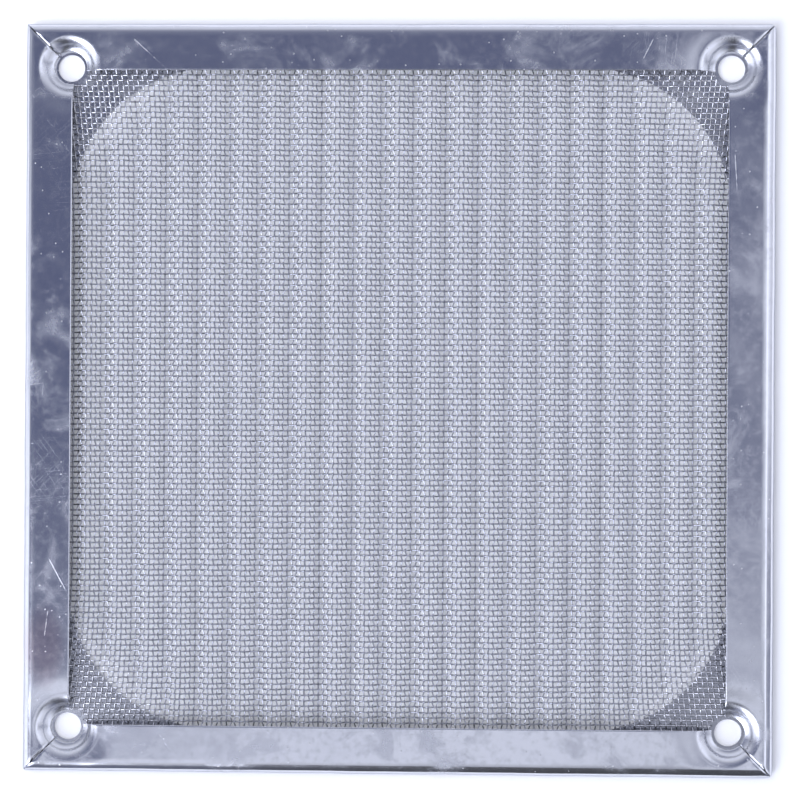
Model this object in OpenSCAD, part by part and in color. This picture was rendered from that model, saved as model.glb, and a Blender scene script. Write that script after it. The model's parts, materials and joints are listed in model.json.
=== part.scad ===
// Dust filter for a square fan: one folded aluminium sheet that clamps a corrugated screen of woven wire.
// It lies on its back. +Z is the front, +Y the top edge, and the origin is the centre of the back.
// All sizes are in millimetres.

/* [Screw holes] */
// Distance between screw holes along a side, as on the fan
hole_pitch = 105; // [80:0.5:125]
// Distance from a screw hole's centre to the outside edge
hole_inset = 7; // [6.6:0.1:8.4]
// Diameter of the screw hole in the back plate
screw_d = 4.3; // [3.4:0.1:4.8]
// Diameter of the hole at the bottom of the dimple
dimple_hole_d = 5.2; // [4.9:0.1:6]
// Flat land between the dimple's rim and the fold
dimple_land = 0.2; // [0.1:0.05:0.8]
// Steepest slope of the dimple's wall
dimple_slope = 54; // [45:1:75]

/* [Frame sheet] */
// Thickness of the sheet
sheet = 0.5; // [0.3:0.05:0.8]
// Space between the back plate and the flanges
hem_gap = 2; // [1.5:0.1:2.5]
// Width of a flange, from the outside edge to its cut edge
flange_w = 7.5; // [6.2:0.1:9]
// Width of the back plate's rim along the straight sides
rim_w = 6.8; // [5:0.1:8.5]
// Corner radius of the opening in the back plate
window_r = 23.5; // [16:0.5:30]
// Open seam where two flanges meet at a corner
mitre_gap = 0.2; // [0.1:0.05:0.5]

/* [Screen] */
// Diameter of the wire
wire_d = 0.25; // [0.14:0.01:0.32]
// Distance from crest to crest of the corrugation
wave_pitch = 4.94; // [4:0.02:7]
// Wires side by side in one wave, each a ridge along it: an even number, so that one lies in each trough
wave_wires = 6; // [4:2:8]
// Depth of the furrow between two wires, on either face
furrow = 0.09; // [0.03:0.01:0.12]
// Clearance between the screen and the sheet on either side of it
screen_clear = 0.03; // [0.02:0.01:0.1]
// Clearance between the screen's edge and the inside of the fold
edge_clear = 1.5; // [1.2:0.1:3]
// Clearance between the pierced screen and a screw
pierce_clear = 0.1; // [0.05:0.05:0.4]
// How far past the dimple, towards the middle, the screen is pressed flat
press_land = 1.4; // [1:0.1:3]
// Length of the ramp on which the corrugation rises again to its full height
press_run = 13; // [8:0.5:20]

/* [Gaps in the screen] */
// Rows of gaps, one above the other
gap_rows = 6; // [2:1:8]
// Width of a gap across the waves
gap_w = 2.3; // [1.2:0.1:2.6]
// Cloth left between two rows
gap_bridge = 1.8; // [1:0.1:4]

/* [Hidden] */
$fn = 64;

half = hole_pitch / 2 + hole_inset;
frame_h = 2 * sheet + hem_gap;
fold_r = frame_h / 2;
opening = 2 * (half - flange_w);
window = 2 * (half - rim_w);
plate_size = 2 * (half - fold_r);
plate_lap = (rim_w - fold_r) / 2;
mitre_set = mitre_gap / sqrt(2);

// The cloth is two wires thick, and its waves fill the space inside the hem.
screen_t = 2 * wire_d;
screen_z = sheet + screen_clear;
wave_amp = (hem_gap - 2 * screen_clear - screen_t) / 2;
screen_l = 2 * (half - sheet - edge_clear);
wave_count = floor(screen_l / wave_pitch);
wave_steps = 2 * wave_wires;
// Pressing sets the cloth a little below the troughs of its waves.
press_z = screen_z - screen_clear / 3;
overcut = 1;

// The dimple's wall is two equal arcs that run from the flange down to the height where it pins the screen.
floor_z = screen_z + screen_t + screen_clear;
dimple_drop = frame_h - sheet - floor_z;
wall_r = dimple_drop / (2 * (1 - cos(dimple_slope)));
rim_r = hole_inset - fold_r - dimple_land;
floor_r = rim_r - 2 * wall_r * sin(dimple_slope);
bend_steps = 6;

gap_l = (opening - (gap_rows + 1) * gap_bridge) / gap_rows;
gap_clear = rim_r + press_land / 2;

module at_holes() {
    for (turn = [0:90:270])
        rotate(turn) translate([hole_pitch / 2, hole_pitch / 2, 0]) children();
}

// Flat ring sector of the sheet's thickness, with its middle line at radius r, from angle a over a sweep.
module sheet_arc(r, a, sweep) {
    far = 3 * (r + sheet);
    intersection() {
        difference() {
            circle(r + sheet / 2);
            circle(r - sheet / 2);
        }
        polygon([[0, 0], for (s = [0, 0.5, 1]) far * [cos(a + s * sweep), sin(a + s * sweep)]]);
    }
}

// Section of one side, from the outside edge inwards: plate, round fold and flange.
module hem_section() {
    translate([fold_r, fold_r]) sheet_arc(fold_r - sheet / 2, 90, 90);
    translate([fold_r, fold_r]) sheet_arc(fold_r - sheet / 2, 180, 90);
    translate([fold_r, 0]) square([plate_lap, sheet]);
    translate([fold_r, frame_h - sheet]) square([flange_w - fold_r, sheet]);
}

module hem_side() {
    intersection() {
        translate([-half, half, 0]) rotate([90, 0, 0]) linear_extrude(2 * half) hem_section();
        linear_extrude(frame_h)
            polygon([[-half, mitre_set - half], [-half, half - mitre_set], [-mitre_set, 0]]);
    }
}

module back_window() {
    corner = window / 2 - window_r;
    square([window, 2 * corner], center = true);
    square([2 * corner, window], center = true);
    for (x = [-corner, corner], y = [-corner, corner])
        translate([x, y]) circle(window_r);
}

module back_plate() {
    linear_extrude(sheet) difference() {
        square(plate_size, center = true);
        back_window();
        at_holes() circle(d = screw_d);
    }
}

// Point on the dimple's upper (side = 1) or lower (side = -1) face. From turn 0 to 1 it follows the convex arc
// at the rim, and from 1 to 2 the concave arc at the floor.
function dimple_point(turn, side) =
    let (
        bend = dimple_slope * min(turn, 2 - turn),
        reach = wall_r + side * (turn < 1 ? 1 : -1) * sheet / 2
    )
    turn < 1
        ? [rim_r - reach * sin(bend), frame_h - sheet / 2 - wall_r + reach * cos(bend)]
        : [floor_r + reach * sin(bend), floor_z + sheet / 2 + wall_r - reach * cos(bend)];

// Half section of the dimple before its hole is cut: land, convex arc, concave arc and floor.
module dimple_section() {
    land_end = rim_r + dimple_land / 2;
    polygon([
        [land_end, frame_h - sheet],
        [land_end, frame_h],
        for (i = [0:2 * bend_steps]) dimple_point(i / bend_steps, 1),
        [0, floor_z + sheet],
        [0, floor_z],
        for (i = [2 * bend_steps:-1:0]) dimple_point(i / bend_steps, -1)
    ]);
}

module dimples() {
    difference() {
        at_holes() difference() {
            rotate_extrude() dimple_section();
            cylinder(h = frame_h, d = dimple_hole_d);
            rotate(45) translate([0, -mitre_gap / 2, 0]) cube([half, mitre_gap, 2 * frame_h]);
        }
        translate([0, 0, frame_h]) cube([opening, opening, 2 * frame_h], center = true);
    }
}

module folded_frame() {
    color([0.66, 0.68, 0.76]) union() {
        back_plate();
        difference() {
            for (turn = [0:90:270])
                rotate(turn) hem_side();
            translate([0, 0, frame_h / 2]) at_holes() cylinder(h = frame_h, r = rim_r);
        }
        dimples();
    }
}

// Point on the cloth's upper (side = 1) or lower (side = -1) face. Even steps are wires, odd ones furrows.
function cloth_point(i, side) =
    let (
        phase = 360 * i / wave_steps,
        slope = -wave_amp * sin(phase) * 2 * PI / wave_pitch,
        reach = side * (screen_t / 2 - abs(i % 2) * furrow) / sqrt(1 + slope * slope),
        middle = screen_z + screen_t / 2 + wave_amp * (1 + cos(phase))
    )
    [i * wave_pitch / wave_steps - reach * slope, middle + reach];

// What is pressed out of the cloth across a corner: a flat over the dimple, then a ramp along the diagonal.
module corner_press() {
    rise = 2 * wave_amp;
    flat_end = -rim_r - press_land;
    rotate(45) rotate([90, 0, 0]) linear_extrude(2 * half, center = true)
        polygon([[half, 0], [flat_end, 0], [flat_end - 2 * press_run, 2 * rise], [half, 2 * rise]]);
}

// All the space under one face of the cloth, pressed down at the four corners.
module under_cloth(side, extra) {
    last = wave_count * wave_steps / 2;
    crest_line = [for (i = [-last:last]) cloth_point(i, side)];
    first_point = crest_line[0] - [extra, 0];
    last_point = crest_line[len(crest_line) - 1] + [extra, 0];
    difference() {
        rotate([90, 0, 0]) linear_extrude(screen_l + 2 * extra, center = true)
            polygon([
                [first_point.x, -extra], first_point, each crest_line, last_point, [last_point.x, -extra]
            ]);
        at_holes() translate([0, 0, press_z + (side + 1) * screen_t / 2]) corner_press();
    }
}

// Gaps stand in the crests in one row and in the troughs in the next, as the wires of a weave change over.
module weave_gaps() {
    row_step = gap_l + gap_bridge;
    last_column = floor((opening - gap_w) / 2 / wave_pitch);
    for (row = [0:gap_rows - 1], column = [-last_column:last_column]) {
        x = (column + row % 2 / 2) * wave_pitch;
        y = (row - (gap_rows - 1) / 2) * row_step;
        aside = max(0, hole_pitch / 2 - abs(x) - gap_w / 2);
        above = max(0, hole_pitch / 2 - abs(y) - gap_l / 2);
        if (norm([aside, above]) > gap_clear && abs(x) < (opening - gap_w) / 2)
            translate([x, y, frame_h / 2]) cube([gap_w, gap_l, 2 * frame_h], center = true);
    }
}

module wire_mesh() {
    color([0.74, 0.75, 0.8]) difference() {
        under_cloth(1, 0);
        under_cloth(-1, overcut);
        weave_gaps();
        at_holes() cylinder(h = frame_h, d = screw_d + 2 * pierce_clear);
    }
}

folded_frame();
wire_mesh();
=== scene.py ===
import json
import math

import bpy
import numpy as np
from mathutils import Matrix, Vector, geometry


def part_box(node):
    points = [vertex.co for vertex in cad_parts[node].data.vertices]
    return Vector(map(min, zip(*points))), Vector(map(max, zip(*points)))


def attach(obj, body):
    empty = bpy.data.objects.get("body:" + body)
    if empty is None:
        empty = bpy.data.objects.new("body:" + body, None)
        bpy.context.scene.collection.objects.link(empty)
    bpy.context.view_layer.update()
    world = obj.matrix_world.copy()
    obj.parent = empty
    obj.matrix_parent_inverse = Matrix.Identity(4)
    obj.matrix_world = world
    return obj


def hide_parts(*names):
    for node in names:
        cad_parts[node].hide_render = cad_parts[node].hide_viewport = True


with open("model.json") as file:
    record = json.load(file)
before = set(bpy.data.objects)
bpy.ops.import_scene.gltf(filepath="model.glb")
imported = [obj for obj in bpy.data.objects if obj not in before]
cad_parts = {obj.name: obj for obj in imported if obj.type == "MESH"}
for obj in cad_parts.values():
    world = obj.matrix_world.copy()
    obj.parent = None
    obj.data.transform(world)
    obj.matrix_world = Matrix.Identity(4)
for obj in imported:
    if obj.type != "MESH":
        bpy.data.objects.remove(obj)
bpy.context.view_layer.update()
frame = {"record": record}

mm = 0.001
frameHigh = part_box("folded_frame")[1]
screenLow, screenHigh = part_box("wire_mesh")
screws = next(m for m in frame["record"]["mounts"] if m["name"] == "fan_screws")["dims"]

# Lengths are in millimetres until a mesh is made. The origin is the centre of the back, +Y the top edge.
half = frameHigh.x / mm
tall = frameHigh.z / mm
holeAt = screws["spacing_x_mm"] / 2
screwRadius = screws["hole_r_mm"]


class Flow:
    # One output of a shader tree. Arithmetic with it adds Math or Vector Math nodes.
    def __init__(self, tree, socket=None):
        self.tree, self.socket = tree, socket

    def node(self, kind, settings, inputs, output=0):
        made = self.tree.nodes.new(kind)
        for name, value in settings.items():
            setattr(made, name, value)
        for name, value in inputs.items():
            if isinstance(value, Flow):
                self.tree.links.new(value.socket, made.inputs[name])
            else:
                made.inputs[name].default_value = value
        return Flow(self.tree, made.outputs[output] if made.outputs else None)

    def math(self, operation, *values):
        kind = "ShaderNodeMath"
        if any(isinstance(v, tuple) or isinstance(v, Flow) and v.socket.type != "VALUE" for v in values):
            kind = "ShaderNodeVectorMath"
            values = [v if isinstance(v, (Flow, tuple)) else (v, v, v) for v in values]
        return self.node(kind, {"operation": operation}, dict(enumerate(values)))

    def __add__(self, other):
        return self.math("ADD", self, other)

    def __radd__(self, other):
        return self.math("ADD", other, self)

    def __sub__(self, other):
        return self.math("SUBTRACT", self, other)

    def __rsub__(self, other):
        return self.math("SUBTRACT", other, self)

    def __mul__(self, other):
        return self.math("MULTIPLY", self, other)

    def __rmul__(self, other):
        return self.math("MULTIPLY", other, self)

    def __truediv__(self, other):
        return self.math("DIVIDE", self, other)

    def __rtruediv__(self, other):
        return self.math("DIVIDE", other, self)

    def __pow__(self, other):
        return self.math("POWER", self, other)

    def __abs__(self):
        return self.math("ABSOLUTE", self)

    def least(self, other):
        return self.math("MINIMUM", self, other)

    def most(self, other):
        return self.math("MAXIMUM", self, other)

    # Smooth change from 0 to 1 as this runs from start to end, which may be the smaller one.
    def step(self, start, end):
        settings = {"interpolation_type": "SMOOTHSTEP"}
        if start < end:
            return self.node("ShaderNodeMapRange", settings, {0: self, 1: start, 2: end})
        return self.node("ShaderNodeMapRange", settings, {0: self, 1: end, 2: start, 3: 1.0, 4: 0.0})

    def axis(self, index):
        return self.node("ShaderNodeSeparateXYZ", {}, {0: self}, index)

    def noise(self, scale, detail=2.0, rough=0.5, warp=0.0):
        inputs = {"Vector": self, "Scale": scale, "Detail": detail, "Roughness": rough, "Distortion": warp}
        return self.node("ShaderNodeTexNoise", {}, inputs)

    def turned(self, angle, stretch):
        inputs = {"Vector": self, "Rotation": (0.0, 0.0, angle), "Scale": stretch}
        return self.node("ShaderNodeMapping", {"vector_type": "TEXTURE"}, inputs)

    def blend(self, first, second):
        first, second = [(*c, 1.0) if isinstance(c, tuple) else c for c in (first, second)]
        return self.node("ShaderNodeMix", {"data_type": "RGBA"}, {0: self, 6: first, 7: second}, 2)


def newMaterial(name):
    made = bpy.data.materials.new(name)
    made.use_nodes = True
    made.node_tree.nodes.clear()
    start = Flow(made.node_tree)
    place = start.node("ShaderNodeTexCoord", {}, {}, "Object") / mm
    return made, start, place


def finishMaterial(start, inputs):
    shader = start.node("ShaderNodeBsdfPrincipled", {}, inputs)
    start.node("ShaderNodeOutputMaterial", {}, {"Surface": shader})


def newPiece(name, points, faces, places, material, node):
    mesh = bpy.data.meshes.new(name)
    mesh.from_pydata((points * mm).tolist(), [], faces)
    mesh.uv_layers.new(name="OFBake").uv.foreach_set("vector", np.asarray(places, np.float32).ravel())
    mesh.materials.append(material)
    mesh.shade_smooth()
    made = bpy.data.objects.new(name, mesh)
    bpy.context.scene.collection.objects.link(made)
    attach(made, "root")
    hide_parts(node)
    print(name, len(mesh.vertices), "points", sum(len(f) - 2 for f in faces), "triangles")
    return made


print("stage 1: sheet metal")

sheetForm = {
    "sheet": 0.5,
    "flange": 7.5,
    "rim": 6.8,
    "windowRadius": 23.5,
    "mitreGap": 0.2,
    "dimpleHole": 2.6,
    "dimpleLand": 0.2,
    "dimpleFloor": 1.56,
    "dimpleSlope": math.radians(54),
    "foldSteps": 18,
    "alongStep": 1.3,
    "cornerFrom": 40.3,
    "cornerStep": 0.6,
    "seamStep": 0.3,
    "ringLand": 0.33,
    "stretch": 4.0,
    "edgeRoll": 0.16,
    "lipRoll": 0.12,
    "rollShare": 0.92,
    "settle": 0.035,
    "draw": 0.085,
    "drawReach": 1.7,
    "curlAt": 0.16,
    "curlWide": 0.3,
    "seamDip": 0.05,
    "seamWide": 0.09,
    # Size, rates along X and Y and shift of the waves in a flange.
    "drift": ((1.0, 0.17, 0.11, 1.3), (1.0, -0.21, 0.13, 0.0), (0.6, 0.43, 0.37, 0.0)),
    # Size, rate and shift from side to side of the waves along a fold.
    "wander": ((0.02, 0.23, 1.7), (0.014, 0.61, 2.9)),
    "mapBorder": 1.02,
    "mapInner": 0.6,
    "mapEdge": 0.3,
}
foldRadius = tall / 2
foldLength = math.pi * foldRadius
plateHalf = half - foldRadius
opening = half - sheetForm["flange"]
mitreSet = sheetForm["mitreGap"] / math.sqrt(2)
rimRadius = half - holeAt - foldRadius - sheetForm["dimpleLand"]
landRadius = rimRadius + sheetForm["ringLand"]
drop = tall - sheetForm["dimpleFloor"]
wallRadius = drop / (2 * (1 - math.cos(sheetForm["dimpleSlope"])))
upperRadius = wallRadius + sheetForm["sheet"] / 2
lowerRadius = wallRadius - sheetForm["sheet"] / 2
floorRadius = rimRadius - 2 * wallRadius * math.sin(sheetForm["dimpleSlope"])
# In the blank the fold is stretched across, so that its rows are as far apart as its columns.
flangeStart = plateHalf + sheetForm["stretch"] * foldLength
flangeEnd = flangeStart + plateHalf - opening

# How far each corner's seam curls up and how round its tip is, from the top left clockwise.
cornerForm = {
    (-1, 1): {"curl": 0.038, "tip": 0.25},
    (1, 1): {"curl": 0.01, "tip": 1.1},
    (1, -1): {"curl": 0.003, "tip": 1.0},
    (-1, -1): {"curl": 0.022, "tip": 0.5},
}


def dimpleRings():
    slope = sheetForm["dimpleSlope"]
    rings = [sheetForm["dimpleHole"] + d for d in (0, 0.03, 0.08)]
    first = math.asin((rings[-1] + 0.08 - floorRadius) / lowerRadius)
    rings += list(floorRadius + lowerRadius * np.sin(np.linspace(first, slope, 6)))
    rings += list(rimRadius - upperRadius * np.sin(np.linspace(slope, 0, 11)[1:]))
    rings += [rimRadius + 0.15, landRadius]
    return rings


# Height of the sheet's upper face round a screw hole.
def dimpleHeight(r):
    bend = lowerRadius * math.sin(sheetForm["dimpleSlope"])
    low = np.arcsin(np.clip((r - floorRadius) / lowerRadius, 0, 1))
    high = np.arcsin(np.clip((rimRadius - r) / upperRadius, 0, 1))
    foot = sheetForm["dimpleFloor"] + lowerRadius * (1 - np.cos(low))
    crown = tall - upperRadius * (1 - np.cos(high))
    return np.where(r < floorRadius + bend, foot, crown)


# The half of a dimple that lies in one flange, as rows of (along, out). A row starts on the seam and ends on the
# cut edge.
def dimplePoints():
    rows = []
    for r in dimpleRings():
        first = math.pi / 4 + math.asin(sheetForm["mitreGap"] / 2 / r)
        last = math.pi + math.asin((holeAt - opening) / r)
        near = first + np.array([0, 0.08, 0.2, 0.4]) / r
        far = last - np.array([0.3, 0.17, 0.1, 0.05, 0.02, 0]) / r
        turns = np.concatenate([near, np.linspace(near[-1], far[0], 38)[1:-1], far])
        rows.append(np.stack([holeAt + r * np.cos(turns), holeAt + r * np.sin(turns)], 1))
    return rows


# Rows across the seam, between the fold and the dimple.
def seamRows():
    step = sheetForm["seamStep"]
    return np.arange(plateHalf - step, holeAt + landRadius / math.sqrt(2) + 0.25, -step)


# A flange point's place in the blank, where the flange lies unfolded beyond the plate.
def toBlank(points):
    points = np.asarray(points, float)
    return np.stack([points[:, 0], flangeStart + plateHalf - points[:, 1]], 1)


# Where the rows of points stand along a side: closer towards the corners.
def flapColumns():
    start, step = sheetForm["cornerFrom"], sheetForm["cornerStep"]
    wide = np.arange(-start, start + 0.01, sheetForm["alongStep"])
    tight = np.arange(start + step, plateHalf - 1, step)
    return np.concatenate([-tight[::-1], wide, tight])


def flapOutline():
    turns = np.linspace(0, math.pi, sheetForm["foldSteps"] + 1)
    fold = np.stack([
        plateHalf + foldRadius * np.sin(turns) - mitreSet,
        plateHalf + sheetForm["stretch"] * foldRadius * turns,
    ], 1)
    rows = dimplePoints()
    outs = seamRows()
    seam = np.stack([outs - mitreSet, outs], 1)
    ring = [row[0] for row in rows[::-1]] + list(rows[0][1:]) + [row[-1] for row in rows[1:]]
    columns = flapColumns()[::-1]
    cut = columns[(columns > 0.1) & (columns < rows[-1][-1][0] - 0.2)]
    edge = np.stack([cut, np.full(len(cut), opening)], 1)
    right = np.concatenate([fold, toBlank(seam), toBlank(ring), toBlank(edge)])
    return np.concatenate([right * (-1, 1), right[::-1]])


def flapInside():
    found = []
    columns = flapColumns()
    for turn in np.linspace(0, math.pi, sheetForm["foldSteps"] + 1):
        limit = plateHalf + foldRadius * math.sin(turn) - mitreSet
        near = limit - np.array([0.08, 0.2, 0.45, 0.9])
        along = np.concatenate([-near, columns[abs(columns) < near[-1] - 0.3], near])
        out = plateHalf + sheetForm["stretch"] * foldRadius * turn
        found.append(np.stack([along, np.full(len(along), out)], 1))
    rows = dimplePoints()
    for side in (-1, 1):
        found += [toBlank(row[1:-1] * (side, 1)) for row in rows[1:]]
    outs = np.concatenate([
        np.linspace(plateHalf, opening + 0.5, 9)[1:],
        opening + sheetForm["edgeRoll"] * np.array([0.15, 0.4, 0.75, 1.2, 2]),
    ])
    for out in seamRows():
        near = out - mitreSet - np.array([0.08, 0.2, 0.4, 0.7])
        along = np.concatenate([-near, near])
        away = np.hypot(abs(along) - holeAt, out - holeAt) - landRadius
        along = along[away > 0.15]
        found.append(toBlank(np.stack([along, np.full(len(along), out)], 1)))
    for out in outs:
        away = np.hypot(abs(columns) - holeAt, out - holeAt) - landRadius
        along = columns[(away > 0.3) & (abs(columns) < out - mitreSet - 1.0)]
        found.append(toBlank(np.stack([along, np.full(len(along), out)], 1)))
    return np.concatenate(found)


# Points (along, out) of one side after some quarter turns. Along runs to the left of the outward direction.
def turnedBy(points, quarter):
    c, s = round(math.cos(quarter * math.pi / 2)), round(math.sin(quarter * math.pi / 2))
    return np.stack([points[:, 1] * c - points[:, 0] * s, points[:, 1] * s + points[:, 0] * c], 1)


def windowOutline():
    straight = half - sheetForm["rim"] - sheetForm["windowRadius"]
    corner = np.linspace(0, math.pi / 2, 40)
    arc = straight + sheetForm["windowRadius"] * np.stack([np.cos(corner), np.sin(corner)], 1)
    return np.concatenate([turnedBy(arc[:, ::-1], q) for q in range(4)])


def circle(x, y, r, count):
    turns = np.linspace(0, 2 * math.pi, count, endpoint=False)
    return np.stack([x + r * np.cos(turns), y + r * np.sin(turns)], 1)


def isInside(points, loop):
    x, y = points[:, :1], points[:, 1:]
    a, b = loop, np.roll(loop, -1, 0)
    cross = (a[:, 1] > y) != (b[:, 1] > y)
    with np.errstate(divide="ignore", invalid="ignore"):
        at = a[:, 0] + (y - a[:, 1]) / (b[:, 1] - a[:, 1]) * (b[:, 0] - a[:, 0])
    return ((cross & (x < at)).sum(1) % 2).astype(bool)


# The blank: a plate with a window and four flaps, cut into triangles in the flat.
def cutBlank():
    corner = np.array([[plateHalf, plateHalf]])
    outer = np.concatenate([turnedBy(np.concatenate([flapOutline(), corner]), q) for q in range(4)])
    holes = [circle(x * holeAt, y * holeAt, screwRadius, 56) for x, y in cornerForm]
    loops = [outer, windowOutline(), *holes]
    points, edges = list(loops), []
    count = 0
    for loop in loops:
        index = np.arange(count, count + len(loop))
        edges += list(zip(index.tolist(), np.roll(index, -1).tolist()))
        count += len(loop)
    points += [turnedBy(flapInside(), q) for q in range(4)]
    lattice = np.arange(-plateHalf + 0.6, plateHalf, 2.2)
    plate = np.stack(np.meshgrid(lattice, lattice), -1).reshape(-1, 2)
    away = np.hypot(abs(plate[:, 0]) - holeAt, abs(plate[:, 1]) - holeAt) > screwRadius + 0.7
    points.append(plate[away & ~isInside(plate * 0.985, loops[1])])
    points = np.concatenate(points)
    made = geometry.delaunay_2d_cdt(points.tolist(), edges, [], 0, 1e-5)
    flat = np.array([tuple(v) for v in made[0]])
    faces = np.array([f for f in made[2] if len(f) == 3])
    middle = flat[faces].mean(1)
    kept = np.concatenate([isInside(part, outer) for part in np.array_split(middle, 12)])
    for loop in loops[1:]:
        kept &= ~isInside(middle, loop)
    faces = faces[kept]
    a, b, c = flat[faces[:, 0]], flat[faces[:, 1]], flat[faces[:, 2]]
    turn = (b[:, 0] - a[:, 0]) * (c[:, 1] - a[:, 1]) - (b[:, 1] - a[:, 1]) * (c[:, 0] - a[:, 0])
    faces[turn < 0] = faces[turn < 0][:, ::-1]
    used, faces = np.unique(faces, return_inverse=True)
    return flat[used], faces.reshape(-1, 3)


# How far an edge that is rolled off has sunk, by the distance from it.
def rollOff(distance, radius):
    near = np.clip(1 - distance / radius, 0, 1)
    return radius * (1 - np.sqrt(1 - sheetForm["rollShare"] * near ** 2))


# Folds the blank: where each of its points lies on the outer face of the bent and dimpled sheet.
def foldBlank(flat):
    sides = np.stack([flat[:, 0], flat[:, 1], -flat[:, 0], -flat[:, 1]], 1)
    side = sides.argmax(1)
    out = sides.max(1)
    normal = np.array([(1, 0), (0, 1), (-1, 0), (0, -1)])[side]
    left = np.stack([-normal[:, 1], normal[:, 0]], 1)
    along = (flat * left).sum(1)
    turn = np.clip((out - plateHalf) / sheetForm["stretch"] / foldRadius, 0, math.pi)
    flap = out > plateHalf
    flange = np.maximum(out - flangeStart, 0)
    reach = np.where(flap, plateHalf + foldRadius * np.sin(turn) - flange, out)
    z = np.where(flap, foldRadius * (1 - np.cos(turn)), 0)
    place = normal * reach[:, None] + left * along[:, None]
    x, y = place.T
    r = np.hypot(abs(x) - holeAt, abs(y) - holeAt)
    upper = np.where(flap, (1 - np.cos(turn)) / 2, 0) ** 2
    onFlange = flap & (out >= flangeStart - 1e-6)
    z = np.where(onFlange, dimpleHeight(r), z)
    # The flange sinks a little, more beside a dimple, and is not quite flat.
    beside = np.exp(-(np.maximum(r - rimRadius, 0) / sheetForm["drawReach"]) ** 2)
    beside = beside * np.clip((r - 4) / 1.1, 0, 1)
    drift = sum(size * np.sin(rx * x + ry * y + shift) for size, rx, ry, shift in sheetForm["drift"])
    z = z - upper * (sheetForm["settle"] * (1 + 0.35 * drift) + sheetForm["draw"] * beside)
    # The cut edge and the lip of the hole are rolled off, and the seam's edges curl.
    z = z - rollOff(reach - opening, sheetForm["edgeRoll"]) * onFlange * np.clip((r - 4) / 2, 0.15, 1)
    z = z - rollOff(r - sheetForm["dimpleHole"], sheetForm["lipRoll"]) * onFlange
    seam = np.maximum((reach - abs(along)) / math.sqrt(2) - sheetForm["mitreGap"] / 2, 0)
    fade = np.clip((plateHalf + 0.3 - reach) / 1.5, 0, 1) * np.clip((r - 3) / 2.5, 0, 1)
    curl = np.exp(-((seam - sheetForm["curlAt"]) / sheetForm["curlWide"]) ** 2) * fade
    dip = sheetForm["seamDip"] * np.exp(-(seam / sheetForm["seamWide"]) ** 2)
    for (cx, cy), form in cornerForm.items():
        here = (np.sign(x) == cx) & (np.sign(y) == cy) & flap
        z = z + here * upper * (form["curl"] * curl - dip)
        tip = half - form["tip"]
        across = np.stack([abs(x) - tip, abs(y) - tip], 1)
        far = np.hypot(*across.T)
        over = here & (across > 0).all(1) & (far > form["tip"])
        scale = np.where(over, form["tip"] / np.maximum(far, 1e-6), 1)
        x = np.where(over, cx * (tip + across[:, 0] * scale), x)
        y = np.where(over, cy * (tip + across[:, 1] * scale), y)
    # The fold's radius wanders along each side.
    wander = sum(size * (1 + np.sin(rate * along + side * shift)) for size, rate, shift in sheetForm["wander"])
    inward = wander * np.sin(turn) ** 2 * flap
    x, y = x - normal[:, 0] * inward, y - normal[:, 1] * inward
    return np.stack([x, y, np.minimum(z, tall)], 1)


def unit(vectors):
    return vectors / np.maximum(np.linalg.norm(vectors, axis=-1, keepdims=True), 1e-12)


def pointNormals(points, faces):
    a, b, c = (points[faces[:, k]] for k in range(3))
    across = np.cross(b - a, c - a)
    found = np.zeros_like(points)
    for k in range(3):
        np.add.at(found, faces[:, k], across)
    return unit(found)


def makeFrame(material):
    flat, faces = cutBlank()
    outer = foldBlank(flat)
    back = faces[:, ::-1]
    inner = outer - sheetForm["sheet"] * pointNormals(outer, back)
    pairs = np.concatenate([faces[:, [0, 1]], faces[:, [1, 2]], faces[:, [2, 0]]])
    key = np.sort(pairs, 1)
    shift = len(flat)
    _, first, count = np.unique(key[:, 0] * shift + key[:, 1], return_index=True, return_counts=True)
    rim = pairs[first[count == 1]]
    walls = np.stack([rim[:, 0], rim[:, 1], rim[:, 1] + shift, rim[:, 0] + shift], 1)
    # The blank is also the map: the outer face fills it and the inner face lies small in its window.
    span = 2 * sheetForm["mapBorder"] * flangeEnd
    outerMap = flat / span + 0.5
    innerMap = flat * sheetForm["mapInner"] / span + 0.5
    start, end = flat[rim[:, 0]], flat[rim[:, 1]]
    step = (end - start) / np.linalg.norm(end - start, axis=1, keepdims=True)
    aside = np.stack([step[:, 1], -step[:, 0]], 1) * sheetForm["mapEdge"]
    wallMap = np.stack([start, end, end + aside, start + aside], 1) / span + 0.5
    maps = (outerMap[back], innerMap[faces], wallMap)
    places = np.concatenate([part.reshape(-1, 2) for part in maps])
    allFaces = back.tolist() + (faces + shift).tolist() + walls.tolist()
    made = newPiece("frame_sheet_bent", np.concatenate([outer, inner]), allFaces, places, material,
                    "folded_frame")
    mesh = made.data
    ends = np.zeros(len(mesh.edges) * 2, np.int32)
    mesh.edges.foreach_get("vertices", ends)
    ends = np.sort(ends.reshape(-1, 2), 1)
    sharp = np.concatenate([np.sort(rim, 1), np.sort(rim, 1) + shift])
    width = 2 * shift
    mask = np.isin(ends[:, 0].astype(np.int64) * width + ends[:, 1], sharp[:, 0] * width + sharp[:, 1])
    mesh.attributes.new("sharp_edge", "BOOLEAN", "EDGE").data.foreach_set("value", mask)


sheetLook = {
    "metal": (0.83, 0.84, 0.875),
    "dull": (0.66, 0.67, 0.71),
    "stain": (0.6, 0.42, 0.46),
    # The plate's colours inside the hem are painted shade from the screen over it.
    "inside": (0.66, 0.67, 0.7),
    "insideShadeLow": (0.46, 0.47, 0.5),
    "mark": (0.95, 0.95, 0.97),
    "edge": (0.3, 0.31, 0.34, 1.0),
    "stainAt": (-56.0, -39.5, 3.1),
    "rough": 0.13,
}
# Scratches seen in the photograph: both ends and the width.
sheetMarks = (
    (-42.3, 57.0, -37.0, 52.2, 0.12),
    (-55.4, -25.6, -52.4, -31.2, 0.1),
    (-37.6, -53.4, -35.8, -56.2, 0.1),
    (53.0, 39.0, 53.4, 33.0, 0.1),
    (40.2, 57.2, 38.4, 53.6, 0.1),
    (-56.0, -38.4, -55.4, -33.8, 0.1),
)


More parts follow.
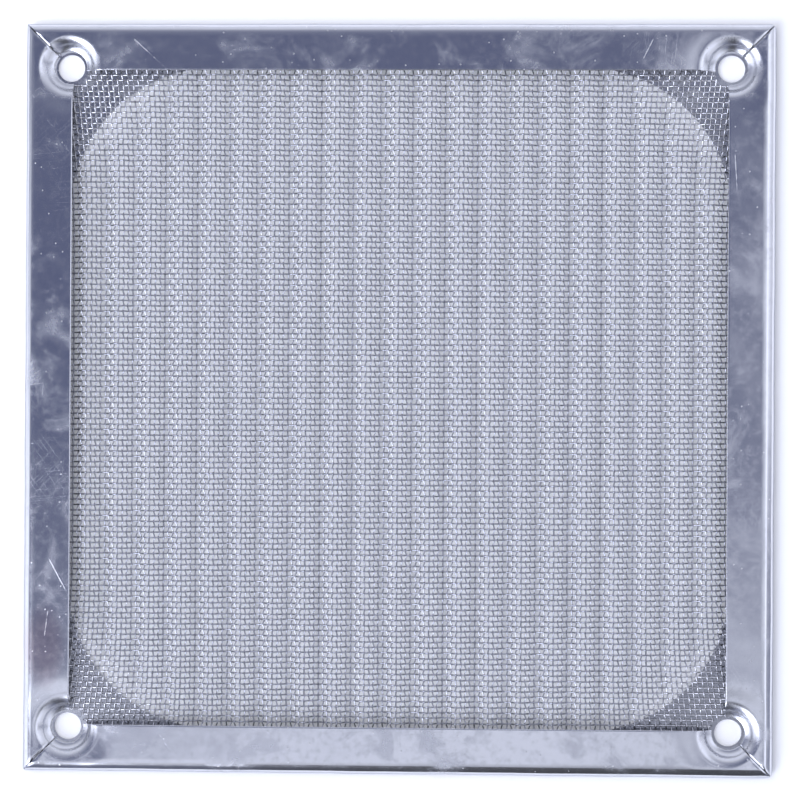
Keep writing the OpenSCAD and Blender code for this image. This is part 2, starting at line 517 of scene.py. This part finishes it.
def sheetMaterial():
    made, start, place = newMaterial("rolled aluminium sheet")
    x, y, z = (place.axis(k) for k in range(3))
    smudge = place.noise(0.13, 5.0, 0.65, 0.6).step(0.47, 0.72)
    cloudy = place.noise(0.9, 3.0, 0.6).step(0.42, 0.8)
    # Fine lines in four directions, each a noise drawn out along the line.
    lines = 0.0
    for angle, dense in ((0.75, 0.69), (2.2, 0.7), (1.45, 0.71), (0.1, 0.715)):
        along = place.turned(angle, (7.0, 0.07, 7.0)).noise(1.0, 1.0, 0.4)
        lines = along.step(dense, dense + 0.05) + lines
    lines = lines.least(1.0) * place.noise(0.08, 2.0).step(0.48, 0.62)
    marks = 0.0
    for x0, y0, x1, y1, wide in sheetMarks:
        span = math.hypot(x1 - x0, y1 - y0)
        ux, uy = (x1 - x0) / span, (y1 - y0) / span
        along = (x - x0) * ux + (y - y0) * uy
        across = abs((x - x0) * uy - (y - y0) * ux)
        marks = across.step(wide, 0.0) * along.step(0.0, 0.5) * along.step(span, span - 0.7) + marks
    marks = marks * z.step(2.0, 2.6) * place.noise(0.9, 2.0).step(0.3, 0.6)
    cells = place.node("ShaderNodeTexVoronoi", {"feature": "F1"}, {"Vector": place, "Scale": 0.9})
    luck = Flow(start.tree, cells.socket.node.outputs["Color"]).axis(0)
    specks = cells.step(0.14, 0.03) * luck.step(0.45, 0.8)
    sx, sy, sr = sheetLook["stainAt"]
    stain = (((x - sx) / sr) ** 2.0 + ((y - sy) / (2.0 * sr)) ** 2.0).step(1.6, 0.0) * smudge.most(0.6)
    colour = (smudge * 0.35 + cloudy * 0.15).blend(sheetLook["metal"], sheetLook["dull"])
    colour = (stain * 0.75).blend(colour, sheetLook["stain"])
    # Inside the hem the plate's colour is painted darker as painted shade from the screen over it, darkest
    # towards the lower right.
    inside = z.step(0.9, 0.6) * z.step(0.2, 0.4)
    insideShadeColour = (x - y).step(-20.0, 95.0).blend(sheetLook["inside"], sheetLook["insideShadeLow"])
    colour = inside.blend(colour, insideShadeColour)
    colour = (specks * 0.6 + marks * 0.5 + lines * 0.1).least(1.0).blend(colour, sheetLook["mark"])
    # The press leaves the dimples less bright.
    pressed = ((abs(x) - holeAt) ** 2.0 + (abs(y) - holeAt) ** 2.0) ** 0.5
    pressed = pressed.step(5.4, 4.6) * z.step(0.9, 1.4)
    rough = pressed * 0.09 + inside * 0.08 + sheetLook["rough"]
    rough = rough + smudge * 0.16 + cloudy * 0.06 + lines * 0.06 + marks * 0.2 + specks * 0.25
    ripple = place.noise(0.22, 1.0) * 0.02 + place.noise(2.2, 2.0) * 0.0009
    height = ripple - lines * 0.0012 - marks * 0.009 + specks * 0.01
    bump = start.node("ShaderNodeBump", {}, {"Strength": 1.0, "Distance": mm, "Height": height})
    finishMaterial(start, {
        "Base Color": colour,
        "Metallic": 1.0,
        "Roughness": rough,
        "Normal": bump,
        "Specular Tint": sheetLook["edge"],
    })
    return made


makeFrame(sheetMaterial())

print("stage 2: woven wire")

clothForm = {
    "wire": 0.25,
    "wavePitch": 4.94,
    "warpPitch": 0.83,
    "weftPitch": 0.857,
    "halfLength": 57.2,
    "halfWidth": 56.3,
    "limit": 58.3,
    "pressFlat": 6.5,
    "pressRun": 13.0,
    "soften": 0.12,
    "sag": 0.15,
    "warpCrimp": 0.66,
    "crown": 0.22,
    "sides": 4,
    "pierce": 0.55,
    "traceHalf": 62.0,
    "traceCount": 2481,
    "weftJitter": 0.016,
    "warpJitter": 0.018,
    "weftSway": 0.02,
    "mapEnd": 0.002,
    "mapStrip": 0.96,
    "mapCap": 0.0015,
}
chance = np.random.default_rng(7)


# Height of the cloth's middle: waves along Y, pressed down round the screw holes.
def clothHeight(x, y):
    thick = clothForm["wire"] * (0.5 + clothForm["warpCrimp"])
    low = screenLow.z / mm + thick
    high = screenHigh.z / mm - thick - clothForm["sag"]
    wave = (low + high) / 2 + (high - low) / 2 * np.cos(2 * math.pi * x / clothForm["wavePitch"])
    inward = (2 * holeAt - abs(x) - abs(y)) / math.sqrt(2)
    rise = np.maximum(inward - clothForm["pressFlat"], 0) / clothForm["pressRun"]
    ramp = low + (high - low) * rise
    soft = clothForm["soften"]
    pressed = -soft * np.logaddexp(-wave / soft, -ramp / soft)
    return np.maximum(pressed, low)


# Where the wires cross. The warps keep their distance along the cloth, so they spread where it is flat.
def clothCrossings():
    rows = 2 * int(clothForm["halfLength"] / clothForm["weftPitch"]) + 1
    y = (np.arange(rows) - (rows - 1) / 2) * clothForm["weftPitch"]
    y = y + chance.normal(0, clothForm["weftJitter"], rows)
    fine = np.linspace(-clothForm["traceHalf"], clothForm["traceHalf"], clothForm["traceCount"])
    height = clothHeight(fine[None], y[:, None])
    steps = np.hypot(np.diff(fine), np.diff(height, axis=1))
    run = np.concatenate([np.zeros((rows, 1)), steps.cumsum(1)], 1)
    run -= run[:, [len(fine) // 2]]
    reach = np.interp(clothForm["halfWidth"], fine, run[rows // 2])
    count = 2 * int(reach / clothForm["warpPitch"]) + 1
    s = (np.arange(count) - (count - 1) / 2) * clothForm["warpPitch"]
    s = s + chance.normal(0, clothForm["warpJitter"], count)
    x = np.stack([np.interp(s, run[j], fine) for j in range(rows)])
    x = np.clip(x, -clothForm["limit"], clothForm["limit"])
    sway = np.sin(0.11 * x + chance.uniform(0, 6, (rows, 1)))
    y = np.repeat(y[:, None], count, 1) + clothForm["weftSway"] * sway
    z = clothHeight(x, y)
    small = 0.01
    slopeX = (clothHeight(x + small, y) - z) / small
    slopeY = (clothHeight(x, y + small) - z) / small
    normal = np.stack([-slopeX, -slopeY, np.ones_like(z)], -1)
    return np.stack([x, y, z], -1), unit(normal)


# The tubes' points, wires x rings x sides x 3 with two rings a crossing, and which of the rings are kept.
# How far a wire lies over the middle of the cloth at each crossing is given in wire diameters.
def wireTubes(points, normals, over):
    wires, count = over.shape
    first = 2 * points[:, :1] - points[:, 1:2]
    last = 2 * points[:, -1:] - points[:, -2:-1]
    padded = np.concatenate([first, points, last], 1)
    lift = (over * clothForm["wire"])[..., None] * normals
    share = clothForm["crown"]
    before = points * (1 - share) + padded[:, :-2] * share + lift
    after = points * (1 - share) + padded[:, 2:] * share + lift
    rings = np.stack([before, after], 2).reshape(wires, 2 * count, 3)
    up = np.repeat(normals, 2, 1)
    ahead = unit(np.gradient(rings, axis=1))
    aside = unit(np.cross(ahead, up))
    up = np.cross(aside, ahead)
    turns = np.arange(clothForm["sides"])[:, None] * 2 * math.pi / clothForm["sides"]
    spokes = np.cos(turns) * up[:, :, None] + np.sin(turns) * aside[:, :, None]
    shell = rings[:, :, None] + clothForm["wire"] / 2 * spokes
    # A wire ends at a screw's hole and at the edge of the cloth.
    away = np.hypot(abs(rings[..., 0]) - holeAt, abs(rings[..., 1]) - holeAt)
    within = np.repeat(abs(points[..., 0]) < clothForm["limit"], 2, 1)
    return shell, within & (away > screwRadius + clothForm["pierce"])


def makeWires(name, points, normals, over, material):
    shell, kept = wireTubes(points, normals, over)
    wires, rings, sides = shell.shape[:3]
    index = np.arange(wires * rings * sides).reshape(wires, rings, sides)
    both = kept[:, :-1] & kept[:, 1:]
    quads, places = [], []
    alongMap = np.linspace(clothForm["mapEnd"], 1 - clothForm["mapEnd"], rings)
    for k in range(sides):
        n = (k + 1) % sides
        quad = np.stack([index[:, :-1, k], index[:, :-1, n], index[:, 1:, n], index[:, 1:, k]], -1)
        low = (np.arange(wires) * sides + k) / (wires * sides)
        high = low + clothForm["mapStrip"] / (wires * sides)
        u0, v0 = np.broadcast_arrays(alongMap[None, :-1], low[:, None])
        u1, v1 = np.broadcast_arrays(alongMap[None, 1:], high[:, None])
        place = np.stack([u0, v0, u0, v1, u1, v1, u1, v0], -1)
        quads.append(quad[both])
        places.append(place[both])
    quads, places = np.concatenate(quads), np.concatenate(places).reshape(-1, 2)
    starts = kept.copy()
    starts[:, 1:] &= ~kept[:, :-1]
    ends = kept.copy()
    ends[:, :-1] &= ~kept[:, 1:]
    caps = np.concatenate([index[starts], index[ends][:, ::-1]])
    small = np.tile(np.array([(0, 0), (1, 0), (1, 1), (0, 1)]) * clothForm["mapCap"], (len(caps), 1))
    faces = np.concatenate([quads, caps])
    used, faces = np.unique(faces, return_inverse=True)
    faces = faces.reshape(-1, sides)
    newPiece(name, shell.reshape(-1, 3)[used], faces.tolist(), np.concatenate([places, small]), material,
             "wire_mesh")


wireLook = {
    "metal": (0.61, 0.62, 0.665),
    "dull": (0.37, 0.385, 0.425),
    "bright": (0.93, 0.93, 0.95),
    "edge": (0.12, 0.12, 0.14, 1.0),
    "pressed": (84.0, 95.0),
    "rough": 0.13,
}


def wireMaterial():
    made, start, place = newMaterial("drawn aluminium wire")
    patch = place.noise(0.35, 3.0, 0.6).step(0.4, 0.75)
    fleck = place.noise(3.1, 2.0, 0.6).step(0.5, 0.75)
    colour = (patch * 0.3 + fleck * 0.45).blend(wireLook["metal"], wireLook["dull"])
    # The screen is burnished where it is pressed flat.
    pressed = (abs(place.axis(0)) + abs(place.axis(1))).step(*wireLook["pressed"])
    colour = pressed.blend(colour, wireLook["bright"])
    rough = patch * 0.08 + fleck * 0.14 + wireLook["rough"]
    drawn = place.noise(9.0, 1.0) * 0.003
    bump = start.node("ShaderNodeBump", {}, {"Strength": 0.6, "Distance": mm, "Height": drawn})
    finishMaterial(start, {
        "Base Color": colour,
        "Metallic": 1.0,
        "Roughness": rough,
        "Normal": bump,
        "Specular Tint": wireLook["edge"],
    })
    return made


crossings, clothNormals = clothCrossings()
rowIndex, columnIndex = np.indices(crossings.shape[:2])
warpOver = np.where((rowIndex + columnIndex) % 2 == 0, 1.0, -1.0)
# The warps take most of the crimp, so that at a crossing the two wires just touch.
warpCrimp = clothForm["warpCrimp"]
wire = wireMaterial()
for part, name in enumerate(("odd", "even")):
    columns = slice(part, None, 2)
    makeWires("screen_warp_" + name, crossings[:, columns].transpose(1, 0, 2),
              clothNormals[:, columns].transpose(1, 0, 2), warpCrimp * warpOver[:, columns].T, wire)
    rows = slice(part, None, 2)
    makeWires("screen_weft_" + name, crossings[rows], clothNormals[rows], (warpCrimp - 1) * warpOver[rows], wire)

print("stage 3: floor, light and camera")

floorLook = {
    "size": 1400.0,
    "drop": 0.03,
    "pale": (0.93, 0.935, 0.95),
    "grain": (0.9, 0.9, 0.92),
    "glow": 0.07,
}
floorMesh = bpy.data.meshes.new("floor")
reach, below = floorLook["size"] * mm / 2, -floorLook["drop"] * mm
corners = [(-reach, -reach, below), (reach, -reach, below), (reach, reach, below), (-reach, reach, below)]
floorMesh.from_pydata(corners, [], [(0, 1, 2, 3)])
floor = bpy.data.objects.new("floor", floorMesh)
bpy.context.scene.collection.objects.link(floor)
floorMaterial, floorStart, floorPlace = newMaterial("pale floor")
grain = floorPlace.noise(0.4, 3.0)
finishMaterial(floorStart, {
    "Base Color": (grain * 0.1).blend(floorLook["pale"], floorLook["grain"]),
    "Roughness": 0.9,
    "Specular IOR Level": 0.1,
    "Emission Color": (1.0, 1.0, 1.0, 1.0),
    "Emission Strength": floorLook["glow"],
})
floorMesh.materials.append(floorMaterial)

# The room is a dark ceiling over the camera with a paler wall behind it at the top edge, a soft box at the
# bottom edge with a dark floor beyond it, a bright wall on the right, the key light at the lower left and a
# window low on the left. Each is a smooth step in the direction looked at.
roomLook = {
    "tint": (0.93, 0.97, 1.14),
    "ceiling": (0.1, 0.115, 0.205),
    "haze": 0.17,
    "wall": 0.6,
    "box": 0.84,
    "boxFall": 0.72,
    "right": 1.2,
    "rightFall": 0.45,
    "key": 1.2,
    "keyFall": 0.5,
    "lamp": 4.4,
    "lampAt": (-0.48, -0.44),
    "gap": 0.75,
    "left": 1.25,
    "dark": 0.07,
}


def makeRoom():
    room = bpy.data.worlds.new("soft studio")
    room.use_nodes = True
    room.node_tree.nodes.clear()
    start = Flow(room.node_tree)
    look = start.node("ShaderNodeTexCoord", {}, {}, "Generated")
    x, y = look.axis(0), look.axis(1)
    low = (x * x + y * y) ** 0.5
    rise = y + abs(x) * 0.3
    top = rise.step(0.12, 0.3) * roomLook["haze"] + rise.step(0.35, 0.95) * roomLook["wall"]
    # The soft box's near edge runs back on both sides.
    near = y - x.least(0.0) * 0.5 + x.most(0.0) * 0.85
    box = near.step(-0.01, -0.05) * (roomLook["box"] - low.step(0.12, 0.9) * roomLook["boxFall"])
    light = top * y.step(-0.05, 0.1) + box
    right = (x * 0.574 - y * 0.819).step(-0.25, 0.15) * (x * 0.866 + y * 0.5).step(-0.2, 0.28)
    right = right * x.step(0.05, 0.14)
    light = light + (roomLook["right"] - low.step(0.35, 1.0) * roomLook["rightFall"] - light) * right
    key = (y - x * 0.1).step(-0.01, -0.09) * (y * 0.5 - x * 0.866).step(-0.14, 0.2)
    key = key * x.step(-0.185, -0.27)
    light = light + (roomLook["key"] - low.step(0.8, 1.0) * roomLook["keyFall"] - light) * key
    # The lamp in the key light, and a gap in the wall on the right.
    lampX, lampY = roomLook["lampAt"]
    fromLamp = ((x - lampX) ** 2.0 + (y - lampY) ** 2.0) ** 0.5
    light = light + fromLamp.step(0.35, 0.18) * roomLook["lamp"]
    gap = y.step(0.01, -0.06) * y.step(-0.2, -0.13) * x.step(0.35, 0.6)
    light = light * (1.0 - gap * roomLook["gap"])
    # The window on the left, and the dark floor beyond the soft box, whose edge runs back on the left.
    light = light.most(x.step(-0.58, -0.88) * y.step(0.22, -0.1) * roomLook["left"])
    edge = y * ((x + 0.05).least(0.0) * 2.0 + 1.0) - x * 0.2
    dark = edge.step(-0.1, -0.27) * abs(x - 0.05).step(0.24, 0.1)
    light = light * (1.0 - dark) + dark * roomLook["dark"]
    dim = (1.0 - light * 1.6).most(0.0) * (1.0 - dark)
    colour = light * roomLook["tint"] + dim * roomLook["ceiling"]
    shader = start.node("ShaderNodeBackground", {}, {"Color": colour, "Strength": 1.0})
    start.node("ShaderNodeOutputWorld", {}, {"Surface": shader})
    bpy.context.scene.world = room


makeRoom()

# A soft lamp at the upper left for the floor. The metal does not mirror it.
lampForm = {
    "place": (-220.0, 220.0, 600.0),
    "size": 500.0,
    "power": 1.6,
    "tint": (0.98, 0.98, 1.0),
}
lampData = bpy.data.lights.new("overhead", "AREA")
lampData.size = lampForm["size"] * mm
lampData.energy = lampForm["power"]
lampData.color = lampForm["tint"]
lamp = bpy.data.objects.new("overhead", lampData)
lamp.location = [v * mm for v in lampForm["place"]]
lamp.visible_glossy = False
bpy.context.scene.collection.objects.link(lamp)

# Fitted to the photograph's corners and screw holes.
cameraForm = {"place": (23.67, -0.65, 500.0), "turn": (0.072, 2.678, 0.344), "lens": 141.58}
cameraData = bpy.data.cameras.new("camera")
cameraData.sensor_width = 36.0
cameraData.lens = cameraForm["lens"]
cameraData.clip_start, cameraData.clip_end = 0.01, 10.0
camera = bpy.data.objects.new("camera", cameraData)
camera.location = [v * mm for v in cameraForm["place"]]
camera.rotation_euler = [math.radians(v) for v in cameraForm["turn"]]
bpy.context.scene.collection.objects.link(camera)
bpy.context.scene.camera = camera
bpy.context.scene.view_settings.view_transform = "Standard"

print("stage 4: finish")
